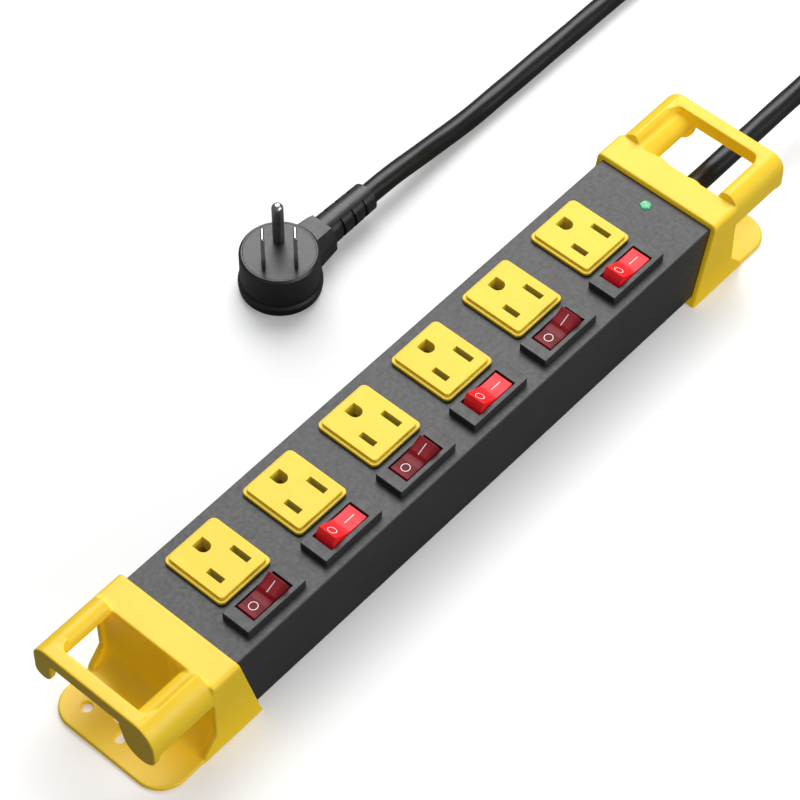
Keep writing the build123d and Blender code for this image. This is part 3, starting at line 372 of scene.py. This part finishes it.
paint(yellow_caps(), "end_cap_cord", "end_cap_plain")
paint(yellow_outlets(), *numbered("outlet"))
paint(moulded("black_moulding", dark=(0.026, 0.026, 0.027), light=(0.036, 0.036, 0.037),
              edge=(0.12, 0.12, 0.12), rough=(0.38, 0.52), coat=0.0, grain=1900),
      "cord_bushing", *numbered("switch_body"))
paint(enamel("dark_enamel", dark=(0.026, 0.026, 0.027), light=(0.034, 0.034, 0.035),
             rough=(0.36, 0.50)),
      "housing_shell", "base_plate")
cord_pvc = rubber("cord_pvc", dark=(0.006, 0.006, 0.0065), light=(0.010, 0.010, 0.0105),
                  rough=(0.28, 0.38), spec=0.42, lines=True)
paint(cord_pvc, "power_cord")
paint(rubber("plug_pvc", dark=(0.012, 0.012, 0.0125), light=(0.018, 0.018, 0.0185),
             rough=(0.28, 0.40), spec=0.55),
      "plug_body", "blade_bridge")
paint(metal("nickel_plate", dark=(0.46, 0.45, 0.44), light=(0.60, 0.59, 0.57),
            rough=(0.24, 0.34), grain=(2600, 2600, 60)),
      "plug_blades", "plug_earth_pin")
paint(metal("zinc_plate", dark=(0.52, 0.53, 0.54), light=(0.70, 0.70, 0.68),
            rough=(0.28, 0.42), grain=(300, 300, 300), stain=(0.45, 0.42, 0.36)),
      "case_screws")
paint(metal("contact_brass", dark=(0.62, 0.42, 0.15), light=(0.80, 0.60, 0.26),
            rough=(0.26, 0.40), grain=(60, 900, 900), stain=(0.30, 0.18, 0.07)),
      "earth_bus", "neutral_bus", "live_clips", "switch_terminals", "live_bus",
      *numbered("contact_lever"))
paint(metal("lug_tin", dark=(0.55, 0.55, 0.54), light=(0.70, 0.70, 0.69),
            rough=(0.30, 0.45), grain=(200, 200, 200)),
      "bonding_lug")
paint(moulded("natural_nylon", dark=(0.72, 0.69, 0.58), light=(0.82, 0.79, 0.68),
              edge=(0.90, 0.88, 0.80), rough=(0.42, 0.55), coat=0.0),
      "contact_carrier", "board_posts", *numbered("plunger"))
paint(rubber("lead_black", dark=(0.014, 0.014, 0.015), light=(0.024, 0.024, 0.024)),
      "hookup_leads", "live_lead")
paint(rubber("lead_white", dark=(0.70, 0.70, 0.67), light=(0.80, 0.80, 0.77)), "neutral_lead")
paint(rubber("lead_green", dark=(0.02, 0.24, 0.06), light=(0.04, 0.33, 0.10)), "earth_lead")
paint(moulded("board_laminate", dark=(0.05, 0.17, 0.06), light=(0.08, 0.24, 0.09),
              edge=(0.45, 0.48, 0.25), rough=(0.30, 0.40), coat=0.25),
      "surge_board")
paint(moulded("varistor_coating", dark=(0.04, 0.10, 0.34), light=(0.06, 0.15, 0.45),
              edge=(0.20, 0.30, 0.60), rough=(0.18, 0.28), coat=0.4),
      "varistors")
paint(moulded("fuse_coating", dark=(0.66, 0.62, 0.50), light=(0.78, 0.74, 0.62),
              edge=(0.85, 0.82, 0.72), rough=(0.35, 0.50)),
      "thermal_fuse")
paint(moulded("resistor_coating", dark=(0.56, 0.38, 0.22), light=(0.66, 0.48, 0.30),
              edge=(0.78, 0.62, 0.44), rough=(0.25, 0.38), coat=0.3),
      "lamp_resistor")
paint(green_lens(), "status_lens")
paint(lamp("led_epoxy", base=(0.25, 0.80, 0.40), light=(0.2, 0.95, 0.4), strength=1.2),
      "status_led")
paint(lamp("lamp_glass", base=(0.85, 0.40, 0.20), light=(1.0, 0.30, 0.10), strength=1.0),
      "switch_lamps")
for index, name in enumerate(numbered("rocker")):
    paint(red_rocker(index), name)
print_white = moulded("print_white", dark=(0.82, 0.80, 0.80), light=(0.92, 0.90, 0.90),
                      edge=(1, 1, 1), rough=(0.35, 0.5), coat=0.0)


# --------------------------------------------------- edge rounding by modifier
def melt(name):
    """Refine a moulding to an even skin and let its corners flow together."""
    skin = parts[name].modifiers.new("skin", "REMESH")
    skin.mode = "VOXEL"
    skin.voxel_size = 0.42 * MM
    skin.adaptivity = 0.0
    skin.use_smooth_shade = True
    flow = parts[name].modifiers.new("flow", "SMOOTH")
    flow.factor = 0.5
    flow.iterations = 7


def soften(name, width):
    """Clean up the flats of a piece, then bevel its edges."""
    modifiers = parts[name].modifiers
    weld = modifiers.new("weld", "WELD")
    weld.merge_threshold = 0.002 * MM
    flat = modifiers.new("flat", "DECIMATE")
    flat.decimate_type = "DISSOLVE"
    flat.angle_limit = math.radians(0.4)
    bevel = modifiers.new("round", "BEVEL")
    bevel.width = width * MM
    bevel.segments = 2
    bevel.limit_method = "ANGLE"
    bevel.angle_limit = math.radians(32)
    bevel.use_clamp_overlap = True
    bevel.miter_outer = "MITER_SHARP"
    normals = modifiers.new("normals", "WEIGHTED_NORMAL")
    normals.weight = 50
    normals.keep_sharp = False


BEVEL_WIDTHS = {
    "housing_shell": 0.25, "base_plate": 0.15, "case_screws": 0.15, "plug_body": 0.35,
    "blade_bridge": 0.12, "plug_blades": 0.12, "cord_bushing": 0.25, "status_lens": 0.15,
    **dict.fromkeys(numbered("outlet"), 0.22),
    **dict.fromkeys(numbered("switch_body"), 0.18),
    **dict.fromkeys(numbered("rocker"), 0.28),
}
melt("end_cap_cord")
melt("end_cap_plain")
for name, width in BEVEL_WIDTHS.items():
    soften(name, width)


# ------------------------------------------------------------ pieces made here
def add_object(name, data):
    made = bpy.data.objects.new(name, data)
    scene.collection.objects.link(made)
    return made


def new_mesh(name, points, faces, mat, smooth=True):
    mesh = bpy.data.meshes.new(name)
    mesh.from_pydata([Vector(point) * MM for point in points], [], faces)
    mesh.validate()
    editable = bmesh.new()
    editable.from_mesh(mesh)
    bmesh.ops.recalc_face_normals(editable, faces=editable.faces)
    editable.to_mesh(mesh)
    editable.free()
    for polygon in mesh.polygons:
        polygon.use_smooth = smooth
    mesh.materials.append(mat.data)
    return add_object(name, mesh)


def profile_arc():
    """Centre and radius of the circle through the three rocker profile points."""
    (start_u, start_w), middle, end = ROCKER_PROFILE
    mid_u, mid_w = middle[0] - start_u, middle[1] - start_w
    end_u, end_w = end[0] - start_u, end[1] - start_w
    mid_square = mid_u**2 + mid_w**2
    end_square = end_u**2 + end_w**2
    divisor = 2 * (mid_u * end_w - mid_w * end_u)
    centre_u = (end_w * mid_square - mid_w * end_square) / divisor
    centre_w = (mid_u * end_square - end_u * mid_square) / divisor
    return start_u + centre_u, start_w + centre_w, math.hypot(centre_u, centre_w)


ARC_U, ARC_W, ARC_RADIUS = profile_arc()


def rocker_top(along):
    """Height of the rocker's dished top above its pivot."""
    return ARC_W - math.sqrt(ARC_RADIUS**2 - (abs(along) - ARC_U) ** 2)


def mark_outline(centre, half_length, radius, steps):
    """Circle, or a bar with round ends, as (along, across) points."""
    points = []
    for step in range(steps):
        angle = 2 * math.pi * step / steps
        end = half_length if math.cos(angle) > 0 else -half_length
        points.append((centre + end + radius * math.cos(angle), radius * math.sin(angle)))
    return points


def rocker_mark(name, index, inner, outer):
    """A printed mark laid on the rocker's curved top as a thin closed band."""
    pivot, along, outward = rocker_frame(index)
    points = []
    for lift in (-0.06, 0.05):
        for u, v in outer + inner:
            w = rocker_top(u) + lift
            point = [p + u * a + w * o for p, a, o in zip(pivot, along, outward)]
            point[1] += v
            points.append(point)
    count = len(outer)
    # Rings in order: lower outer, lower inner, upper outer, upper inner
    ring_pairs = ((2, 3), (0, 1), (0, 2), (1, 3))
    faces = []
    for step in range(count):
        after = (step + 1) % count
        for first, second in ring_pairs:
            near, far = first * count, second * count
            faces.append((near + step, near + after, far + after, far + step))
    mark = new_mesh(name, points, faces, print_white, smooth=False)
    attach(mark, f"switch_{index + 1}")


# name, centre along the rocker, half length, inner radius, outer radius, steps
MARKS = (
    ("off", -4.7, 0.0, 1.55, 1.82, 40),
    ("on", 4.6, 2.3, 0.02, 0.17, 24),
)
LIT_MARK_SHIFT = -0.8
for index, lit in enumerate(SWITCH_ON):
    shift = LIT_MARK_SHIFT if lit else 0.0
    for kind, centre, half_length, inner_radius, outer_radius, steps in MARKS:
        inner, outer = (
            mark_outline(shift + centre, half_length, radius, steps)
            for radius in (inner_radius, outer_radius)
        )
        rocker_mark(f"mark_{kind}_{index + 1}", index, inner, outer)

# Cord centre line as (x, z): out of the strip at y = 0 and down to the floor
STRIP_RUN = [
    (140, 21.3), (187.5, 21.3), (235, 21.3), (242.72, 20.93), (250.37, 19.81),
    (257.88, 17.99), (265.24, 15.62), (272.5, 12.95), (279.76, 10.28), (287.12, 7.91),
    (294.63, 6.09), (302.28, 4.97),
]
# The same for the far side of the loop: along the floor and up into the plug
PLUG_RUN = [
    (228.2, 4.6), (146.4, 4.6), (137.62, 4.83), (128.85, 5.47), (120.12, 6.43),
    (111.4, 7.55), (102.68, 8.67), (93.95, 9.63), (85.18, 10.27), (76.4, 10.5),
    (63.4, 10.5), (50.4, 10.5),
]


def cord_centre():
    """The strip run, a half circle on the floor in 5 degree steps, then the plug run."""
    points = [(x, 0, z) for x, z in STRIP_RUN]
    for step in range(37):
        angle = math.radians(5 * step)
        points.append((LOOP_X + LOOP_RADIUS * math.sin(angle),
                       LOOP_RADIUS * (1 - math.cos(angle)), CORD_REST_Z))
    return points + [(x, 2 * LOOP_RADIUS, z) for x, z in PLUG_RUN]


def resample(points, spacing, passes=3):
    """Divide a line into near-even steps and smooth it, keeping its ends."""
    corners = [Vector(point) for point in points]
    line = [corners[0]]
    for start, end in zip(corners, corners[1:]):
        count = max(1, round((end - start).length / spacing))
        line += [start.lerp(end, step / count) for step in range(1, count + 1)]
    for _ in range(passes):
        inside = [
            (before + here * 2 + after) / 4
            for before, here, after in zip(line, line[1:], line[2:])
        ]
        line = [line[0], *inside, line[-1]]
    return line


def cord_jacket(centre, sides=40, lay_height=0.045, lay_pitch=95.0, inset=0.05):
    """A jacket with the faint lay of three twisted cores showing in its surface."""
    points, faces = [], []
    travelled = 0.0
    last = len(centre) - 1
    for ring, middle in enumerate(centre):
        heading = (centre[min(ring + 1, last)] - centre[max(ring - 1, 0)]).normalized()
        side = heading.cross(Vector((0, 0, 1))).normalized()
        top = side.cross(heading).normalized()
        if ring:
            travelled += (middle - centre[ring - 1]).length
        for k in range(sides):
            angle = 2 * math.pi * k / sides
            lay = lay_height * math.cos(3 * (angle - 2 * math.pi * travelled / lay_pitch))
            radius = CORD_RADIUS - inset + lay
            points.append(middle + side * (radius * math.cos(angle))
                          + top * (radius * math.sin(angle)))
    for ring in range(last):
        near, far = ring * sides, (ring + 1) * sides
        for k in range(sides):
            after = (k + 1) % sides
            faces.append((near + k, near + after, far + after, far + k))
    faces.append(tuple(range(sides)))
    faces.append(tuple(range(last * sides, (last + 1) * sides)))
    return new_mesh("cord_jacket", points, faces, cord_pvc)


cord = cord_jacket(resample(cord_centre(), spacing=2.0))
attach(cord, "strip")
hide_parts("power_cord")


# -------------------------------------------------------------- floor and light
def pale_floor():
    """Pale to the camera, dark to all other rays so that it bounces little light."""
    mat = Material("pale_floor")
    seen = mat.node("LightPath").outputs["Is Camera Ray"]
    pale = mat.mix(mat.noise(3.0, detail=3), (0.84, 0.84, 0.84), (0.87, 0.87, 0.865))
    mat.set("Base Color", mat.mix(seen, (0.16, 0.16, 0.16), pale))
    mat.set("Emission Color", (1, 1, 1, 1))
    mat.set("Emission Strength", mat.times(seen, 0.22))
    mat.set("Roughness", 0.9)
    mat.set("Specular IOR Level", 0.1)
    return mat


FLOOR_HALF = 6000
floor_corners = [(x * FLOOR_HALF, y * FLOOR_HALF, 0)
                 for x, y in ((-1, -1), (1, -1), (1, 1), (-1, 1))]
floor = new_mesh("floor", floor_corners, [(0, 1, 2, 3)], pale_floor())
floor.location.z = -0.2 * MM


def softbox(name, direction, distance, size, power):
    """Area light aimed at the strip; distance and size in metres, power in watts."""
    outward = Vector(direction).normalized()
    light = bpy.data.lights.new(name, "AREA")
    light.shape = "RECTANGLE"
    light.size, light.size_y = size
    light.energy = power
    box = add_object(name, light)
    box.location = Vector((0.02, 0.0, 0.02)) + outward * distance
    box.rotation_mode = "QUATERNION"
    box.rotation_quaternion = outward.to_track_quat("Z", "Y")


softbox("key", direction=(0.45, 0.42, 0.80), distance=1.5, size=(1.3, 1.3), power=27.0)
softbox("fill", direction=(0.10, -1.0, 0.50), distance=1.6, size=(1.6, 0.9), power=16.0)

world = bpy.data.worlds.new("studio")
world.use_nodes = True
background = world.node_tree.nodes["Background"]
background.inputs["Color"].default_value = (0.96, 0.98, 1.0, 1)
background.inputs["Strength"].default_value = 0.20
scene.world = world
scene.view_settings.view_transform = "Standard"

# ----------------------------------------------------------------------- camera
CAMERA_PLACE = (-544.7, -470.28, 980.46)
AZIMUTH = -2.414001718561257  # radians, direction back from the view towards the camera
ELEVATION = 0.9196222844241756

lens = bpy.data.cameras.new("camera")
lens.sensor_width = 36
lens.lens = 144.454
lens.clip_start = 0.05
lens.clip_end = 20
camera = add_object("camera", lens)
right = Vector((-math.sin(AZIMUTH), math.cos(AZIMUTH), 0))
back = Vector((
    math.cos(ELEVATION) * math.cos(AZIMUTH),
    math.cos(ELEVATION) * math.sin(AZIMUTH),
    math.sin(ELEVATION),
))
turn = Matrix((right, back.cross(right), back)).transposed()
camera.matrix_world = Matrix.Translation(Vector(CAMERA_PLACE) * MM) @ turn.to_4x4()
scene.camera = camera
